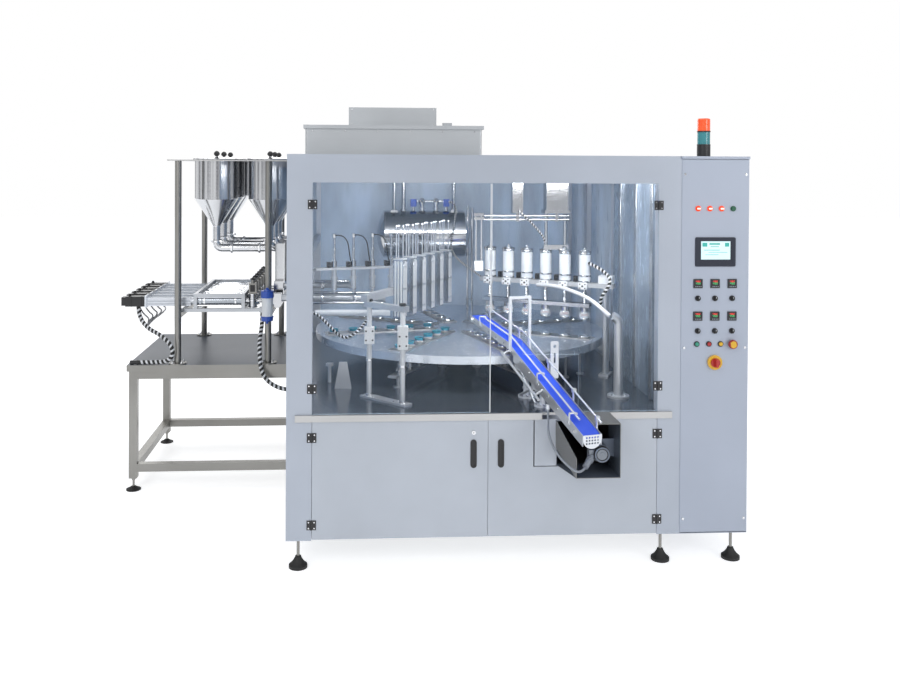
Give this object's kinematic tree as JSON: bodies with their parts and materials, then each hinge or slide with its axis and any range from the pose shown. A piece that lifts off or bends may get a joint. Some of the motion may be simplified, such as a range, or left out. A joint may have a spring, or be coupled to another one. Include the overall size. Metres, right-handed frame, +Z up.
{
  "type": "rotary chocolate filling machine",
  "caption": "Rotary filling machine with a glazed turntable cabinet, sealing and lid stations, an outfeed conveyor, a control column and a dosing table with round hoppers.",
  "frame": {"origin": "on the floor under the middle of the whole machine, cables left out", "axes": "+Z up, +X from the dosing table to the control column, -Y towards the operator at the doors"},
  "size_m": [3.563, 2.7476, 2.401],
  "materials": {
    "belt_blue": "matte",
    "black_plastic": "matte",
    "button_green": "gloss",
    "button_red": "gloss",
    "button_yellow": "gloss",
    "clear_sheet": "gloss",
    "column_paint": "satin",
    "door_paint": "satin",
    "lamp_plastic": "gloss",
    "motor_dark": "satin",
    "rubber_black": "matte",
    "skin_blue": "satin",
    "steel_frame": "satin",
    "steel_light": "satin",
    "steel_polished": "polished",
    "white_plastic": "satin"
  },
  "bodies": {
    "machine": {"cabinet_frame": "steel_frame", "deck_plate": "steel_frame", "cabinet_skins": "skin_blue", "side_windows": "clear_sheet", "roof_hood": "steel_light", "levelling_feet": "rubber_black", "control_cabinet": "column_paint", "control_cover": "column_paint", "panel_instruments": "black_plastic", "stack_light": "lamp_plastic", "door_hinges": "black_plastic", "index_drive": "steel_light", "conveyor_frame": "steel_frame", "conveyor_belt": "belt_blue", "lane_fittings": "steel_frame", "drive_housing": "steel_frame", "conveyor_motor": "motor_dark", "seal_station": "steel_light", "lid_magazine": "white_plastic", "front_stand": "steel_light", "nozzle_bank": "steel_frame", "product_tubes": "steel_polished", "holding_tank": "steel_polished", "deck_fixtures": "steel_frame", "dosing_table": "steel_frame", "hopper_stand": "steel_frame", "hoppers": "steel_polished", "hopper_pipes": "steel_polished", "dosing_unit": "steel_frame", "dosing_drives": "motor_dark", "valve_group": "steel_frame", "servo_bundle": "rubber_black", "valve_bundle": "rubber_black", "motor_conduit": "rubber_black"},
    "upper_left_door": {"upper_left_door": "clear_sheet"},
    "upper_right_door": {"upper_right_door": "clear_sheet"},
    "lower_left_door": {"lower_left_door": "door_paint"},
    "lower_right_door": {"lower_right_door": "door_paint"},
    "turntable": {"turntable_disc": "steel_light", "cup_rows": "steel_light"},
    "drive_roller": {"drive_roller": "steel_light"},
    "tail_roller": {"tail_roller": "steel_light"},
    "seal_heads": {"seal_heads": "steel_light"},
    "hopper_lid_1": {"hopper_lid_1": "steel_polished"},
    "hopper_lid_2": {"hopper_lid_2": "steel_polished"},
    "hopper_lid_3": {"hopper_lid_3": "steel_polished"},
    "hopper_lid_4": {"hopper_lid_4": "steel_polished"},
    "hopper_lid_5": {"hopper_lid_5": "steel_polished"},
    "hopper_lid_6": {"hopper_lid_6": "steel_polished"},
    "selector_1_1": {"selector_1_1": "black_plastic"},
    "selector_1_2": {"selector_1_2": "black_plastic"},
    "selector_1_3": {"selector_1_3": "black_plastic"},
    "selector_2_1": {"selector_2_1": "black_plastic"},
    "selector_2_2": {"selector_2_2": "black_plastic"},
    "selector_2_3": {"selector_2_3": "black_plastic"},
    "start_button": {"start_button": "button_green"},
    "stop_button": {"stop_button": "button_red"},
    "reset_button": {"reset_button": "button_yellow"},
    "emergency_button": {"emergency_button": "button_red"},
    "main_switch_knob": {"main_switch_knob": "button_red"}
  },
  "joints": [
    {"name": "upper_left_door_swing", "type": "hinge", "parent": "machine", "child": "upper_left_door", "pos_m": [-0.4885, -0.98073, 1.4], "axis": [0, 0, -1], "range_deg": [0, 110]},
    {"name": "upper_right_door_swing", "type": "hinge", "parent": "machine", "child": "upper_right_door", "pos_m": [1.3015, -0.98073, 1.4], "axis": [0, 0, 1], "range_deg": [0, 110]},
    {"name": "lower_left_door_swing", "type": "hinge", "parent": "machine", "child": "lower_left_door", "pos_m": [-0.4885, -0.98073, 0.46], "axis": [0, 0, -1], "range_deg": [0, 110]},
    {"name": "lower_right_door_swing", "type": "hinge", "parent": "machine", "child": "lower_right_door", "pos_m": [1.3015, -0.98073, 0.46], "axis": [0, 0, 1], "range_deg": [0, 110]},
    {"name": "turntable_turn", "type": "hinge", "parent": "machine", "child": "turntable", "pos_m": [0.4055, 0.33277, 1], "axis": [0, 0, 1], "continuous": true},
    {"name": "drive_roller_turn", "type": "hinge", "parent": "machine", "child": "drive_roller", "pos_m": [0.85326, -1.33828, 0.7837], "axis": [0.9659, 0.2588, 0], "continuous": true},
    {"name": "tail_roller_turn", "type": "hinge", "parent": "machine", "child": "tail_roller", "pos_m": [0.49091, 0.01402, 1.1247], "axis": [0.9659, 0.2588, 0], "continuous": true},
    {"name": "seal_heads_stroke", "type": "slide", "parent": "machine", "child": "seal_heads", "axis": [0, 0, -1], "range_m": [0, 0.06]},
    {"name": "hopper_lid_1_lift", "type": "slide", "parent": "machine", "child": "hopper_lid_1", "axis": [0, 0, 1], "range_m": [0, 0.15]},
    {"name": "hopper_lid_2_lift", "type": "slide", "parent": "machine", "child": "hopper_lid_2", "axis": [0, 0, 1], "range_m": [0, 0.15]},
    {"name": "hopper_lid_3_lift", "type": "slide", "parent": "machine", "child": "hopper_lid_3", "axis": [0, 0, 1], "range_m": [0, 0.15]},
    {"name": "hopper_lid_4_lift", "type": "slide", "parent": "machine", "child": "hopper_lid_4", "axis": [0, 0, 1], "range_m": [0, 0.15]},
    {"name": "hopper_lid_5_lift", "type": "slide", "parent": "machine", "child": "hopper_lid_5", "axis": [0, 0, 1], "range_m": [0, 0.15]},
    {"name": "hopper_lid_6_lift", "type": "slide", "parent": "machine", "child": "hopper_lid_6", "axis": [0, 0, 1], "range_m": [0, 0.15]},
    {"name": "selector_1_1_turn", "type": "hinge", "parent": "machine", "child": "selector_1_1", "pos_m": [1.5105, -0.99623, 1.388], "axis": [0, -1, 0], "range_deg": [-45, 45]},
    {"name": "selector_1_2_turn", "type": "hinge", "parent": "machine", "child": "selector_1_2", "pos_m": [1.6015, -0.99623, 1.388], "axis": [0, -1, 0], "range_deg": [-45, 45]},
    {"name": "selector_1_3_turn", "type": "hinge", "parent": "machine", "child": "selector_1_3", "pos_m": [1.6925, -0.99623, 1.388], "axis": [0, -1, 0], "range_deg": [-45, 45]},
    {"name": "selector_2_1_turn", "type": "hinge", "parent": "machine", "child": "selector_2_1", "pos_m": [1.5105, -0.99623, 1.218], "axis": [0, -1, 0], "range_deg": [-45, 45]},
    {"name": "selector_2_2_turn", "type": "hinge", "parent": "machine", "child": "selector_2_2", "pos_m": [1.6015, -0.99623, 1.218], "axis": [0, -1, 0], "range_deg": [-45, 45]},
    {"name": "selector_2_3_turn", "type": "hinge", "parent": "machine", "child": "selector_2_3", "pos_m": [1.6925, -0.99623, 1.218], "axis": [0, -1, 0], "range_deg": [-45, 45]},
    {"name": "start_button_push", "type": "slide", "parent": "machine", "child": "start_button", "axis": [0, 1, 0], "range_m": [0, 0.004], "stiffness_N_per_m": 300, "springref_m": -0.004},
    {"name": "stop_button_push", "type": "slide", "parent": "machine", "child": "stop_button", "axis": [0, 1, 0], "range_m": [0, 0.004], "stiffness_N_per_m": 300, "springref_m": -0.004},
    {"name": "reset_button_push", "type": "slide", "parent": "machine", "child": "reset_button", "axis": [0, 1, 0], "range_m": [0, 0.004], "stiffness_N_per_m": 300, "springref_m": -0.004},
    {"name": "emergency_button_push", "type": "slide", "parent": "machine", "child": "emergency_button", "axis": [0, 1, 0], "range_m": [0, 0.0045], "stiffness_N_per_m": 600, "springref_m": -0.004},
    {"name": "main_switch_turn", "type": "hinge", "parent": "machine", "child": "main_switch_knob", "pos_m": [1.6015, -1.00623, 1.054], "axis": [0, -1, 0], "range_deg": [0, 90]}
  ],
  "couplings": [
    {"joint": "tail_roller_turn", "follows": "drive_roller_turn", "ratio": 1}
  ]
}
